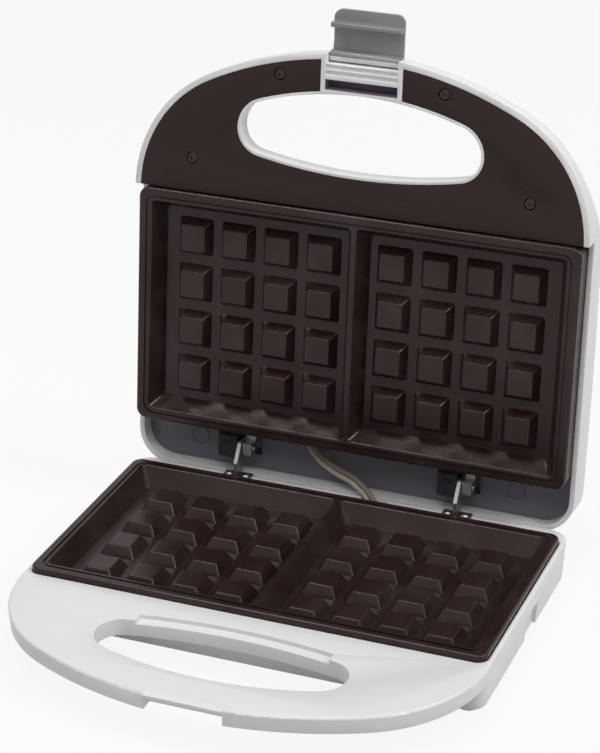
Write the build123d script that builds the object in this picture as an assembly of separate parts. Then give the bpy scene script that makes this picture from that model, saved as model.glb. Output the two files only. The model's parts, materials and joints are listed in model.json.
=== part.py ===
from build123d import *
import os
from math import asin, atan2, cos, degrees, hypot, radians, sin, tan

# Two-field waffle cookie maker, lid open. Millimetres, +Z up, +X to the user's right, handles towards -Y.
# The origin is on the table, under the middle of the open object's depth.

# Plates
PLATE_WIDTH = 217.0
PLATE_DEPTH = 117.0
PLATE_CORNER = 5.0
PLATE_SKIRT = 9.0
PLATE_SKIRT_WALL = 2.0
PLATE_FRONT_Y = -42.5
FIELD_DEPTH = 10.0
FIELD_FLOOR = 2.0
FIELD_LAND_SIDE = 6.5
FIELD_LAND_FRONT = 6.0
FIELD_RIDGE = 2.2
FIELD_SLOPE = 24.0
FIELD_CORNER = 2.5
GROOVE_WIDTH = 1.2
GROOVE_DEPTH = 0.8
GROOVE_OFFSET = 1.6
PYRAMID_COUNT = 4
PYRAMID_GAP_X = 4.3
PYRAMID_GAP_Y = 4.9
PYRAMID_INNER = 3.4
PYRAMID_OUTER = 6.5
PYRAMID_END = 4.1
PYRAMID_HEIGHT = 5.2
PYRAMID_SLOPE = 28.0
PLATE_GAP = 0.4

# Heights above the table
FOOT_HEIGHT = 3.0
DECK_Z = 23.0
PLATE_STAND = 3.0
SKIRT_HEIGHT = 8.0

# Housings
PLATE_MARGIN = 2.5
HANDLE_REACH = 75.0
HANDLE_CORNER = 64.0
WALL = 2.4
LOW_WALL = 2.8
DRAFT = 4.0
FIT_GAP = 0.4
TUB_FRONT_SETBACK = 8.0
TUB_FRONT_ROUND = 8.0
REAR_STRIP = 8.8
BASE_REAR_CORNER = 10.0
BASE_EDGE_ROUND = 1.2
BASE_BAR = 20.5
BASE_SLOT_REAR = 16.8
SLOT_SIDE = 52.6
SLOT_BOW = 250.0
SLOT_END_SHARE = 0.48
SLOT_END_LIMIT = 0.995
COLLAR = 2.2
LEDGE_SIDE = 65.5
LEDGE_DEPTH = 5.0
LEDGE_DROP = 2.0
NOTCH_HALF = 18.0
NOTCH_DEPTH = 8.0
LIP = 2.4
LIP_SETBACK = 1.0
SIDE_RECESS_LENGTH = 17.0
SIDE_RECESS_HEIGHT = 11.0
SIDE_RECESS_DEPTH = 1.4
SIDE_RECESS_OFF_MID = 6.5

# Lid, with heights above the parting plane
LID_TOP = 34.0
LID_OVERHANG = 26.0
LID_REAR_CORNER = 17.0
LID_RIM = 11.0
LID_HANDLE_LOW = 2.0
LID_HANDLE_TOP = 14.5
LID_EDGE_ROUND = 6.0
LID_STEP_ROUND = 26.0
LID_BAR = 18.8
LID_SLOT_REAR = 18.4
SLOT_FLARE = 4.0
COVER_THICK = 2.0
COVER_RIM = 2.6
SLOT_RIM = 1.3
COVER_GAP = 0.2
COVER_BACK = 0.8
REAR_COVER_RISE = 7.5
HINGE_BEHIND = 10.2
HINGE_RISE = 10.5
LID_OPEN = 95.5

# Hinges
HINGE_SIDE = 55.0
EAR_THICK = 1.8
EAR_RADIUS = 5.0
EAR_FOOT = 7.0
SIDE_PLAY = 0.3
BLOCK_WIDTH = 9.3
LEAF_WIDTH = 4.8
LEAF_THICK = 1.5
LEAF_LENGTH = 20.0
PIN_RADIUS = 1.5
RUNNING_GAP = 0.05

# Latch
LATCH_HALF = 16.8
LATCH_AXIS_BACK = 2.5
LATCH_AXIS_RISE = 7.5
LATCH_HUB = 2.6
LATCH_PIN_RADIUS = 1.0
BLADE_THICK = 2.4
BLADE_OFFSET = 1.8
BLADE_REACH = 21.0
HOOK_REACH = 14.4
HOOK_THICK = 2.4
HOOK_DEPTH = 4.5
HOUSING_HALF = 19.6
LATCH_SIDE_GAP = 0.5
LATCH_TRAVEL = 90.0
POCKET_HALF = 17.4
POCKET_WIDTH = 4.9
POCKET_DEPTH = 9.5
POCKET_BACK = 12.7

# Heating and wiring
HEATER_RADIUS = 3.0
HEATER_SIDE = 58.5
HEATER_FRONT_INSET = 28.5
HEATER_REAR_INSET = 12.5
HEATER_BEND = 25.0
SEAT_GAP = 0.2
CLIP_SHEET = 0.6
REFLECTOR_SHEET = 0.6
REFLECTOR_INSET_X = 16.5
REFLECTOR_INSET_Y = 12.5
BOSS_INSET_X = 28.5
BOSS_INSET_Y = 23.5
PLATE_BOSS_RADIUS = 3.5
SLEEVE_RADIUS = 1.3
SLEEVE_BEND = 12.0
SLEEVE_TURN = 6.0
GLAND_SIDE = 29.0
GLAND_Z = 10.5
GLAND_RADIUS = 4.6
GLAND_BORE = 3.3
TERMINAL_START = 16.0
TERMINAL_LENGTH = 26.0

# Fasteners and small pieces
SCREW_RADIUS = 1.45
SCREW_HEAD = 2.6
PAN_SCREW_LENGTH = 7.5
LID_SCREW_LENGTH = 6.0
REFLECTOR_SCREW_LENGTH = 5.0
EAR_SCREW_LENGTH = 3.4
BLOCK_SCREW_LENGTH = 10.0
BOSS_RADIUS = 3.0
BOTTOM_COVER_THICK = 2.0
COVER_SCREW_SIDE = 23.0
COVER_SCREW_INSET = 7.9
FOOT_RADIUS = 6.0
FOOT_SIDE = 10.0
FOOT_INSET_Y = 10.0
LENS_RADIUS = 3.4
LENS_X = 9.0
LENS_BACK = 24.0

# Derived places
PLATE_REAR_Y = PLATE_FRONT_Y + PLATE_DEPTH
PLATE_MID_Y = PLATE_FRONT_Y + PLATE_DEPTH / 2
PART_Z = DECK_Z + PLATE_STAND
BODY_WIDTH = PLATE_WIDTH + 2 * PLATE_MARGIN
BODY_HALF = BODY_WIDTH / 2
FIELD_WIDTH = PLATE_WIDTH / 2 - FIELD_LAND_SIDE - FIELD_RIDGE / 2
FIELD_LENGTH = PLATE_DEPTH - 2 * FIELD_LAND_FRONT
FLOOR_INSET = FIELD_DEPTH * tan(radians(FIELD_SLOPE))
PYRAMID_ROW = FIELD_WIDTH - 2 * FLOOR_INSET - PYRAMID_INNER - PYRAMID_OUTER
PYRAMID_PITCH_X = (PYRAMID_ROW + PYRAMID_GAP_X) / PYRAMID_COUNT
PYRAMID_PITCH_Y = (FIELD_LENGTH - 2 * FLOOR_INSET - 2 * PYRAMID_END + PYRAMID_GAP_Y) / PYRAMID_COUNT
PYRAMID_X = PYRAMID_PITCH_X - PYRAMID_GAP_X
PYRAMID_Y = PYRAMID_PITCH_Y - PYRAMID_GAP_Y
BASE_REAR_Y = PLATE_REAR_Y + REAR_STRIP
TUB_FRONT_Y = PLATE_FRONT_Y - TUB_FRONT_SETBACK
HANDLE_FRONT_Y = PLATE_FRONT_Y - HANDLE_REACH
LID_REAR_Y = PLATE_REAR_Y + LID_OVERHANG
HINGE_X = BODY_HALF - HINGE_SIDE
HINGE_Y = PLATE_REAR_Y + HINGE_BEHIND
HINGE_Z = PART_Z + HINGE_RISE
LATCH_Y = HANDLE_FRONT_Y + LATCH_AXIS_BACK
LATCH_Z = PART_Z + LATCH_AXIS_RISE
PLATE_BACK = FIELD_DEPTH + FIELD_FLOOR
HEATER_DROP = PLATE_BACK + SEAT_GAP + HEATER_RADIUS
REFLECTOR_DROP = HEATER_DROP + HEATER_RADIUS + CLIP_SHEET + 2 * SEAT_GAP
HEATER_LEG_X = PLATE_WIDTH / 2 - HEATER_SIDE
HEATER_FRONT = PLATE_DEPTH / 2 - HEATER_FRONT_INSET
HEATER_REAR = PLATE_DEPTH / 2 - HEATER_REAR_INSET
REFLECTOR_HALF_X = PLATE_WIDTH / 2 - REFLECTOR_INSET_X
REFLECTOR_HALF_Y = PLATE_DEPTH / 2 - REFLECTOR_INSET_Y
PLATE_BOSS_X = PLATE_WIDTH / 2 - BOSS_INSET_X
PLATE_BOSS_Y = PLATE_DEPTH / 2 - BOSS_INSET_Y
GLAND_X = GLAND_SIDE - BODY_HALF
COVER_SCREW_X = BODY_HALF - COVER_SCREW_SIDE
FOOT_X = BODY_HALF - FOOT_SIDE
LEDGE_HALF = BODY_HALF - LEDGE_SIDE
SHOULDER = BODY_HALF - HANDLE_CORNER
FRONT_RADIUS = (SHOULDER**2 + HANDLE_REACH**2 - HANDLE_CORNER**2) / (2 * (HANDLE_REACH - HANDLE_CORNER))
ARC_CENTRE_Y = HANDLE_FRONT_Y + FRONT_RADIUS


def polar(centre_x, centre_y, radius, angle):
    return (centre_x + radius * cos(radians(angle)), centre_y + radius * sin(radians(angle)))


def rect(x0, x1, y0, y1):
    return Pos((x0 + x1) / 2, (y0 + y1) / 2) * Rectangle(x1 - x0, y1 - y0)


def box(x0, x1, y0, y1, z0, z1):
    return Pos((x0 + x1) / 2, (y0 + y1) / 2, (z0 + z1) / 2) * Box(x1 - x0, y1 - y0, z1 - z0)


def rod(radius, start, axis, length):
    return Plane(origin=start, z_dir=axis) * Cylinder(radius, length, align=(Align.CENTER, Align.CENTER, Align.MIN))


def housing_plan(inset, rear_y, rear_corner):
    """Straight sides, rounded rear corners and the D-shaped carry handle in front."""
    half = BODY_HALF - inset
    turn = degrees(atan2(PLATE_FRONT_Y - ARC_CENTRE_Y, SHOULDER))
    corner = HANDLE_CORNER - inset
    front = FRONT_RADIUS - inset
    right = [polar(SHOULDER, PLATE_FRONT_Y, corner, a) for a in (0, turn / 2, turn)]
    left = [(-x, y) for x, y in reversed(right)]
    edge = Line((half, rear_y - inset), right[0])
    edge += ThreePointArc(*right)
    edge += ThreePointArc(right[2], (0, ARC_CENTRE_Y - front), left[0])
    edge += ThreePointArc(*left)
    edge += Line(left[2], (-half, rear_y - inset))
    edge += Line((-half, rear_y - inset), (half, rear_y - inset))
    plan = make_face(edge)
    rear = plan.vertices().sort_by(Axis.Y)[-2:]
    return fillet(rear, rear_corner - inset)


def behind(plan, y):
    """The part of a plan that lies behind y."""
    return plan & rect(-BODY_WIDTH, BODY_WIDTH, y, y + 3 * BODY_WIDTH)


def before(plan, y):
    """The part of a plan that lies in front of y."""
    return plan & rect(-BODY_WIDTH, BODY_WIDTH, y - 3 * BODY_WIDTH, y)


def slot_plan(grow, bar, rear):
    """Finger slot: front edge along the handle's arc, rear edge gently bowed, ends almost fully round."""
    half = BODY_HALF - SLOT_SIDE
    front_radius = FRONT_RADIUS - bar
    bow_y = PLATE_FRONT_Y - rear - SLOT_BOW
    front_y = ARC_CENTRE_Y - (front_radius**2 - half**2) ** 0.5
    rear_y = bow_y + (SLOT_BOW**2 - half**2) ** 0.5
    reach = SLOT_END_SHARE * (rear_y - front_y)
    front_round = reach * tan(radians(45) + asin(half / front_radius) / 2)
    rear_round = reach * tan(radians(45) + asin(half / SLOT_BOW) / 2)
    taken = end_length(front_round, front_radius, half) + end_length(rear_round, SLOT_BOW, half)
    fit = min(1, SLOT_END_LIMIT * (rear_y - front_y) / taken)
    front_round *= fit
    rear_round *= fit
    plan = Pos(0, ARC_CENTRE_Y) * Circle(front_radius + grow)
    plan &= Pos(0, bow_y) * Circle(SLOT_BOW + grow)
    plan &= rect(-half - grow, half + grow, front_y - BODY_WIDTH, rear_y + BODY_WIDTH)
    corners = plan.vertices().sort_by(Axis.Y)
    plan = fillet(corners[-2:], rear_round + grow)
    corners = plan.vertices().sort_by(Axis.Y)
    return fillet(corners[:2], front_round + grow)


def end_length(radius, arc, half):
    """How much of a slot's straight end a rounding against an arc takes up."""
    reach = (arc**2 - half**2) ** 0.5
    return reach - (reach**2 - 2 * radius * (arc - half)) ** 0.5


def base_slot(grow):
    return slot_plan(grow, BASE_BAR, BASE_SLOT_REAR)


def lid_slot(grow):
    return slot_plan(grow, LID_BAR, LID_SLOT_REAR)


def lid_slot_cut(grow):
    """The lid's slot as a cutter whose far edge opens out softly."""
    flare_z = PART_Z + LID_HANDLE_TOP - SLOT_FLARE
    cut = extrude(Pos(0, 0, PART_Z - 10) * lid_slot(grow), flare_z - PART_Z + 10)
    return cut + extrude(Pos(0, 0, flare_z) * lid_slot(grow), 3 * SLOT_FLARE, taper=-35)


def open_lid(shape):
    """Turns a piece of the closed lid about the hinge to where it rests."""
    return shape.rotate(Axis((0, HINGE_Y, HINGE_Z), (1, 0, 0)), -LID_OPEN)


def base_cover_screw_places():
    front = TUB_FRONT_Y + COVER_SCREW_INSET
    rear = BASE_REAR_Y - COVER_SCREW_INSET - 0.4
    return [(x, y) for x in (-COVER_SCREW_X, COVER_SCREW_X) for y in (front, rear)]


def ear_screw_places():
    return [(x + way, PLATE_REAR_Y + 4.1) for x in (-HINGE_X, HINGE_X) for way in (-4.2, 4.2)]


def foot_places():
    return [(x, y) for x in (-FOOT_X, FOOT_X) for y in (TUB_FRONT_Y + FOOT_INSET_Y, BASE_REAR_Y - FOOT_INSET_Y)]


def lid_screw_places():
    """Cover screws, two in the front of the handle and two beside the slot."""
    front_x = BODY_HALF - 71.4
    side_x = BODY_HALF - 28.7
    front_y = ARC_CENTRE_Y - ((FRONT_RADIUS - LID_BAR / 2) ** 2 - front_x**2) ** 0.5 - 1.2
    side_y = PLATE_FRONT_Y - 16.9
    return [(-front_x, front_y), (front_x, front_y), (-side_x, side_y), (side_x, side_y)]


def base_shell():
    plan = housing_plan(0, BASE_REAR_Y, BASE_REAR_CORNER)
    body = extrude(Pos(0, 0, DECK_Z) * plan, -(DECK_Z - FOOT_HEIGHT), taper=DRAFT)
    body = fillet(body.edges().group_by(Axis.Z)[-1], BASE_EDGE_ROUND)
    body -= under_handle()
    corners = [e for e in body.edges() if abs(e.center().Y - TUB_FRONT_Y) < 1.5 and abs(e.center().X) > 90]
    corners = [e for e in corners if abs(e.tangent_at(0.5).Z) > 0.9]
    body = fillet(corners, TUB_FRONT_ROUND)
    body -= base_tub_hollow()
    body -= base_handle_hollow()
    body += base_bosses()
    body -= plate_well()
    body -= extrude(Pos(0, 0, DECK_Z + 1) * base_slot(0), -SKIRT_HEIGHT - 2)
    body -= slot_ledge(0)
    body -= latch_notch()
    body -= side_recesses()
    body -= sleeve_way()
    body -= ear_screw_bores()
    body -= rod(GLAND_RADIUS - 1.2, (GLAND_X, BASE_REAR_Y - 8, GLAND_Z), (0, 1, 0), 16)
    return body


def under_handle():
    """Space below the handle, in front of the tub's sloping front wall."""
    low = FOOT_HEIGHT - 1
    skirt = DECK_Z - SKIRT_HEIGHT
    slope = (skirt - low) * tan(radians(DRAFT))
    side = Polyline((TUB_FRONT_Y - 90, skirt), (TUB_FRONT_Y, skirt), (TUB_FRONT_Y + slope, low),
                    (TUB_FRONT_Y - 90, low), close=True)
    return extrude(Plane.YZ.offset(-BODY_WIDTH) * make_face(side), 2 * BODY_WIDTH)


def tub_inside(inset):
    """Plan of the tub's inside at deck height, or of the same shrunk further."""
    width = BODY_WIDTH - 2 * inset - 0.4
    depth = BASE_REAR_Y - TUB_FRONT_Y - 2 * inset
    middle = (BASE_REAR_Y + TUB_FRONT_Y) / 2
    return Pos(0, middle) * RectangleRounded(width, depth, BASE_REAR_CORNER - LOW_WALL)


def base_tub_hollow():
    """Inside of the tub, open below."""
    plan = tub_inside(LOW_WALL)
    return extrude(Pos(0, 0, DECK_Z - WALL) * plan, -(DECK_Z - WALL - FOOT_HEIGHT) - 1, taper=DRAFT)


def base_handle_hollow():
    """Inside of the carry handle, open below, less the walls of the slot, the ledge and the latch notch."""
    plan = before(housing_plan(WALL + 0.5, BASE_REAR_Y, BASE_REAR_CORNER), TUB_FRONT_Y - 0.6)
    plan -= base_slot(COLLAR)
    hollow = extrude(Pos(0, 0, DECK_Z - WALL) * plan, -SKIRT_HEIGHT)
    notch_back = HANDLE_FRONT_Y + NOTCH_DEPTH + COLLAR
    hollow -= box(-NOTCH_HALF - COLLAR, NOTCH_HALF + COLLAR, HANDLE_FRONT_Y - 5, notch_back, 0, DECK_Z)
    hollow -= slot_ledge(WALL)
    return hollow


def base_bosses():
    """Screw posts for the bottom cover, each in a corner of the tub."""
    posts = Part()
    low = FOOT_HEIGHT + BOTTOM_COVER_THICK
    for x, y in base_cover_screw_places():
        posts += Pos(x, y, (low + DECK_Z - 1) / 2) * Cylinder(BOSS_RADIUS, DECK_Z - 1 - low)
        posts -= Pos(x, y, low + 4) * Cylinder(SCREW_RADIUS, 8.2)
    return posts


def plate_well():
    """Opening in the deck that the lower plate drops into; its floor is the ledge under the plate's skirt."""
    width = PLATE_WIDTH + 2 * FIT_GAP
    depth = PLATE_DEPTH + 2 * FIT_GAP
    plan = RectangleRounded(width, depth, PLATE_CORNER + FIT_GAP)
    return extrude(Pos(0, PLATE_MID_Y, PART_Z - PLATE_SKIRT) * plan, PLATE_SKIRT)


def slot_ledge(grow):
    """Shallow step that follows the slot's bowed rear edge."""
    half = LEDGE_HALF + grow
    slot_y = PLATE_FRONT_Y - BASE_SLOT_REAR
    plan = Pos(0, slot_y - SLOT_BOW) * Circle(SLOT_BOW + LEDGE_DEPTH + grow)
    plan &= rect(-half, half, slot_y - 12, slot_y + BODY_WIDTH)
    plan -= base_slot(-0.5)
    return extrude(Pos(0, 0, DECK_Z - LEDGE_DROP - grow) * plan, LEDGE_DROP + grow + 1)


def latch_notch():
    """Pocket under the thin front lip that the latch's hook snaps into, with the lip set back and eased."""
    low = DECK_Z - SKIRT_HEIGHT - 1
    pocket = box(-NOTCH_HALF, NOTCH_HALF, HANDLE_FRONT_Y - 2, HANDLE_FRONT_Y + NOTCH_DEPTH, low, DECK_Z - LIP)
    front = box(-NOTCH_HALF, NOTCH_HALF, HANDLE_FRONT_Y - 2, HANDLE_FRONT_Y + LIP_SETBACK, low, DECK_Z + 1)
    y = HANDLE_FRONT_Y + LIP_SETBACK
    ease = make_face(Polyline((y - 1, DECK_Z - 1), (y + 4.5, DECK_Z + 0.1), (y - 1, DECK_Z + 0.1), close=True))
    ramp = extrude(Plane.YZ * ease, NOTCH_HALF, both=True)
    return pocket + front + ramp


def side_recesses():
    """Finger hollow low in each side wall."""
    cuts = Part()
    y = PLATE_MID_Y + SIDE_RECESS_OFF_MID
    low = FOOT_HEIGHT - 1
    half = BODY_HALF - (DECK_Z - FOOT_HEIGHT) * tan(radians(DRAFT))
    for side in (-1, 1):
        inner = side * (half - SIDE_RECESS_DEPTH)
        outer = side * (half + 5)
        length = SIDE_RECESS_LENGTH / 2
        top = FOOT_HEIGHT + SIDE_RECESS_HEIGHT
        cuts += box(min(inner, outer), max(inner, outer), y - length, y + length, low, top)
    return cuts


def sleeve_way():
    """Notch in the rear strip of the deck that the lead sleeves go down."""
    hole = RectangleRounded(4 * SLEEVE_RADIUS + 8, 9.4, SLEEVE_RADIUS)
    return extrude(Pos(SLEEVE_DOWN_X - 2, SLEEVE_DOWN_Y - 1, DECK_Z + 1) * hole, -WALL - 2)


def ear_screw_bores():
    bores = Part()
    for x, y in ear_screw_places():
        bores += rod(1.0, (x, y, DECK_Z - WALL - 1), (0, 0, 1), WALL + 2)
    return bores


def base_bottom_cover():
    """Pan cover with countersunk screw holes and two banks of air slots."""
    inset = LOW_WALL + (DECK_Z - FOOT_HEIGHT) * tan(radians(DRAFT)) + FIT_GAP
    cover = extrude(Pos(0, 0, FOOT_HEIGHT) * tub_inside(inset), BOTTOM_COVER_THICK)
    for x, y in base_cover_screw_places():
        cover -= Pos(x, y, FOOT_HEIGHT + 1) * Cylinder(SCREW_RADIUS + 0.25, 4)
        cover -= Pos(x, y, FOOT_HEIGHT) * Cylinder(SCREW_HEAD + 0.2, 2 * 1.3)
    for x in (-BODY_HALF / 2, BODY_HALF / 2):
        for row in range(4):
            slot = Pos(x, PLATE_MID_Y - 21 + 14 * row, FOOT_HEIGHT - 1) * SlotOverall(44, 3.4)
            cover -= extrude(slot, BOTTOM_COVER_THICK + 2)
    return cover


def base_feet():
    feet = []
    for x, y in foot_places():
        pad = Pos(x, y, FOOT_HEIGHT) * Circle(FOOT_RADIUS)
        feet.append(chamfer(extrude(pad, -FOOT_HEIGHT, taper=8).edges().group_by(Axis.Z)[0], 0.5))
    return feet


def pan_screw(length, radius=SCREW_RADIUS, head=SCREW_HEAD, head_height=1.1):
    """Screw along +Z with its head below z = 0 and a cross recess in the head."""
    screw = rod(radius, (0, 0, 0), (0, 0, 1), length)
    cap = rod(head, (0, 0, -head_height), (0, 0, 1), head_height)
    cap = chamfer(cap.edges().group_by(Axis.Z)[0], head_height * 0.4)
    screw += cap
    for turn in (0, 90):
        screw -= Pos(0, 0, -head_height) * Rot(0, 0, turn) * Box(head, head * 0.28, head_height)
    return screw


def base_cover_screws():
    return [Pos(x, y, FOOT_HEIGHT + 1.3) * pan_screw(PAN_SCREW_LENGTH) for x, y in base_cover_screw_places()]


def cooking_plate():
    """Cast plate about its own middle, cooking side up, rim at z = 0."""
    outline = RectangleRounded(PLATE_WIDTH, PLATE_DEPTH, PLATE_CORNER)
    plate = extrude(outline, -PLATE_SKIRT)
    plate = fillet(plate.edges().group_by(Axis.Z)[-1], 1.2)
    inner = offset(outline, -PLATE_SKIRT_WALL)
    plate -= extrude(Pos(0, 0, -PLATE_SKIRT) * inner, PLATE_SKIRT - PLATE_STAND)
    pan_x = PLATE_WIDTH - 2 * FIELD_LAND_SIDE + 4
    pan_y = PLATE_DEPTH - 2 * FIELD_LAND_FRONT + 4
    pan = extrude(RectangleRounded(pan_x, pan_y, FIELD_CORNER + 2), -PLATE_BACK + 1)
    pan += extrude(Pos(0, 0, -PLATE_BACK + 1) * RectangleRounded(pan_x, pan_y, FIELD_CORNER + 2), -1, taper=45)
    plate += pan & extrude(outline, -PLATE_BACK)
    for side in (-1, 1):
        plate -= field_hollow(side)
        plate += pyramids(side)
    plate -= rim_groove()
    for x, y in plate_boss_places():
        plate += rod(PLATE_BOSS_RADIUS, (x, y, -REFLECTOR_DROP), (0, 0, 1), REFLECTOR_DROP - PLATE_BACK + 0.5)
        plate -= rod(SCREW_RADIUS, (x, y, -REFLECTOR_DROP), (0, 0, 1), 5.5)
    return plate


def plate_boss_places():
    return [(x, y) for x in (-PLATE_BOSS_X, PLATE_BOSS_X) for y in (-PLATE_BOSS_Y, PLATE_BOSS_Y)]


def field_hollow(side):
    """One field's hollow: sloping walls that meet in lightly rounded corners."""
    middle = (FIELD_RIDGE + FIELD_WIDTH) / 2
    hollow = extrude(Pos(side * middle, 0) * Rectangle(FIELD_WIDTH, FIELD_LENGTH), -FIELD_DEPTH, taper=FIELD_SLOPE)
    corners = [e for e in hollow.edges() if abs(e.tangent_at(0.5).Z) > 0.3]
    return fillet(corners, FIELD_CORNER)


def pyramids(side):
    """Four by four truncated pyramids on a field's floor."""
    tips = Part()
    for column in range(PYRAMID_COUNT):
        x = side * (FIELD_RIDGE / 2 + FLOOR_INSET + PYRAMID_INNER + PYRAMID_X / 2 + column * PYRAMID_PITCH_X)
        for row in range(PYRAMID_COUNT):
            y = (row - (PYRAMID_COUNT - 1) / 2) * PYRAMID_PITCH_Y
            foot = Pos(x, y, -FIELD_DEPTH - 0.2) * Rectangle(PYRAMID_X + 0.2, PYRAMID_Y + 0.2)
            tips += extrude(foot, PYRAMID_HEIGHT + 0.2, taper=PYRAMID_SLOPE)
    return tips


def rim_groove():
    """Overflow groove in the rim, round both fields."""
    width = PLATE_WIDTH - 2 * FIELD_LAND_SIDE + 2 * GROOVE_OFFSET
    depth = PLATE_DEPTH - 2 * FIELD_LAND_FRONT + 2 * GROOVE_OFFSET
    corner = FIELD_CORNER + GROOVE_OFFSET
    ring = RectangleRounded(width + 2 * GROOVE_WIDTH, depth + 2 * GROOVE_WIDTH, corner + GROOVE_WIDTH)
    ring -= RectangleRounded(width, depth, corner)
    return extrude(ring, -GROOVE_DEPTH)


def heater():
    """U-bent sheathed element under a plate, with its two terminal pins."""
    x, front, rear = HEATER_LEG_X, -HEATER_FRONT, HEATER_REAR
    corners = [(-x, rear, 0), (-x, front, 0), (x, front, 0), (x, rear, 0)]
    path = FilletPolyline(*corners, radius=HEATER_BEND)
    tube = sweep(Plane(origin=corners[0], z_dir=(0, -1, 0)) * Circle(HEATER_RADIUS), path=path)
    for side in (-x, x):
        tube += rod(1.2, (side, rear - 1, 0), (0, 1, 0), 7)
    return Pos(0, 0, -HEATER_DROP) * tube


def heater_clips():
    """Sheet straps that hold the element against the plate."""
    clips = []
    for x, y, turn in ((-HEATER_LEG_X, 8, 0), (HEATER_LEG_X, 8, 0), (0, -HEATER_FRONT, 90)):
        clips.append(Pos(x, y, -PLATE_BACK) * Rot(0, 0, turn) * heater_clip())
    return clips


def heater_clip():
    reach = HEATER_RADIUS + SEAT_GAP
    drop = 2 * HEATER_RADIUS + 2 * SEAT_GAP
    t = CLIP_SHEET
    outer = Polyline((-11, 0), (-11, -t), (-reach - t, -t), (-reach - t, -drop - t), (reach + t, -drop - t),
                     (reach + t, -t), (11, -t), (11, 0), (reach, 0), (reach, -drop), (-reach, -drop),
                     (-reach, 0), close=True)
    return extrude(Plane.XZ * make_face(outer), 4, both=True)


def reflector():
    """Bright sheet under the element, with a turned-up rim and screw holes."""
    sheet = extrude(RectangleRounded(2 * REFLECTOR_HALF_X, 2 * REFLECTOR_HALF_Y, 6), -REFLECTOR_SHEET)
    rim = RectangleRounded(2 * REFLECTOR_HALF_X, 2 * REFLECTOR_HALF_Y, 6)
    rim -= RectangleRounded(2 * REFLECTOR_HALF_X - 1.2, 2 * REFLECTOR_HALF_Y - 1.2, 5.4)
    sheet += extrude(rim, 4)
    for x, y in plate_boss_places():
        sheet -= Pos(x, y) * Cylinder(SCREW_RADIUS + 0.25, 4)
    for x in (-HEATER_LEG_X, HEATER_LEG_X):
        sheet -= box(x - 5, x + 5, REFLECTOR_HALF_Y - 3, REFLECTOR_HALF_Y + 3, -2, 6)
    return Pos(0, 0, -REFLECTOR_DROP) * sheet


def reflector_screws():
    z = -REFLECTOR_DROP - REFLECTOR_SHEET
    return [Pos(x, y, z) * pan_screw(REFLECTOR_SCREW_LENGTH) for x, y in plate_boss_places()]


def lower(shape):
    return Pos(0, PLATE_MID_Y, PART_Z) * shape


def upper(shape):
    """Places a plate's piece face down in the closed lid, then opens the lid."""
    return open_lid(Pos(0, PLATE_MID_Y, PART_Z + PLATE_GAP) * Rot(0, 180, 0) * shape)


def thermal_fuse():
    """Sleeved fuse held to the lower plate's back by a small strap, inside the element's bend."""
    r = 2.0
    z = -PLATE_BACK - SEAT_GAP - r
    body = rod(r, (-13, 0, z), (1, 0, 0), 26)
    for x, way in ((-13, -1), (13, 1)):
        body += rod(0.5, (x, 0, z), (way, 0, 0), 6)
    strap = box(-3, 3, -r - 1, r + 1, z - r - 0.8, -PLATE_BACK)
    strap -= box(-4, 4, -r - SEAT_GAP, r + SEAT_GAP, z - r - SEAT_GAP, -PLATE_BACK + 1)
    return [lower(body), lower(strap)]


def thermostat():
    """Bimetal switch seated on the upper plate's back, with a mounting ear and two tabs."""
    top = -PLATE_BACK
    body = rod(8, (0, 8, top), (0, 0, -1), 3.2)
    body += rod(6.5, (0, 8, top - 3.2), (0, 0, -1), 2.6)
    body += box(-13, 13, 5, 11, top - 0.8, top)
    for x in (-4, 4):
        body += box(x - 0.4, x + 0.4, 12, 19, top - 5.4, top - 2.4)
        body += box(x - 0.4, x + 0.4, 8, 13, top - 5.4, top - 2.4)
    return upper(body)


def terminal_block():
    """Two-way screw connector on the bottom cover, between the plate and the rear wall."""
    y = BASE_REAR_Y - LOW_WALL - 5.2
    z = FOOT_HEIGHT + BOTTOM_COVER_THICK
    start = GLAND_X + TERMINAL_START
    block = box(start, start + TERMINAL_LENGTH, y - 3.6, y + 3.6, z, z + 9)
    for way in (TERMINAL_START + 6.5, TERMINAL_START + TERMINAL_LENGTH - 6.5):
        block -= rod(1.6, (GLAND_X + way, y - 5, z + 4), (0, 1, 0), 10)
        block -= rod(1.8, (GLAND_X + way, y, z + 5), (0, 0, 1), 6)
    return block


def cord_gland():
    """Flanged bush in the rear wall that a mains cord would leave through."""
    y = BASE_REAR_Y - 0.2
    bush = rod(GLAND_RADIUS + 1.2, (GLAND_X, y + 0.2, GLAND_Z), (0, 1, 0), 1.6)
    bush += rod(GLAND_RADIUS - 1.3, (GLAND_X, y - 6.5, GLAND_Z), (0, 1, 0), 7)
    bush += Plane(origin=(GLAND_X, y + 1.6, GLAND_Z), z_dir=(0, 1, 0)) * Cone(
        GLAND_RADIUS, GLAND_RADIUS - 0.6, 5, align=(Align.CENTER, Align.CENTER, Align.MIN))
    bush -= rod(GLAND_BORE - 0.7, (GLAND_X, y - 7, GLAND_Z), (0, 1, 0), 20)
    return bush


def lid_profile(drop):
    """Side view of the lid's top, from the handle's front up a soft step to the crowned body."""
    y = PLATE_FRONT_Y
    handle = PART_Z + LID_HANDLE_TOP - drop
    top = PART_Z + LID_TOP - drop
    front_y = HANDLE_FRONT_Y - 4
    rear_y = LID_REAR_Y + 4
    low = PART_Z - 5
    start = (y + 8, top - 2.4)
    foot = (y - 24, handle + 1.6)
    side = Polyline((rear_y, top - 2.4), (rear_y, low), (front_y, low), (front_y, handle - 1.2), foot, start)
    side += ThreePointArc(start, ((start[0] + rear_y) / 2, top), (rear_y, top - 2.4))
    face = make_face(side)
    bends = [v for v in face.vertices() if abs(v.Y - foot[1]) < 0.01 or (abs(v.X - start[0]) < 0.01)]
    face = fillet(bends, LID_STEP_ROUND)
    return extrude(Plane.YZ.offset(-BODY_WIDTH) * face, 2 * BODY_WIDTH)


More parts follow.
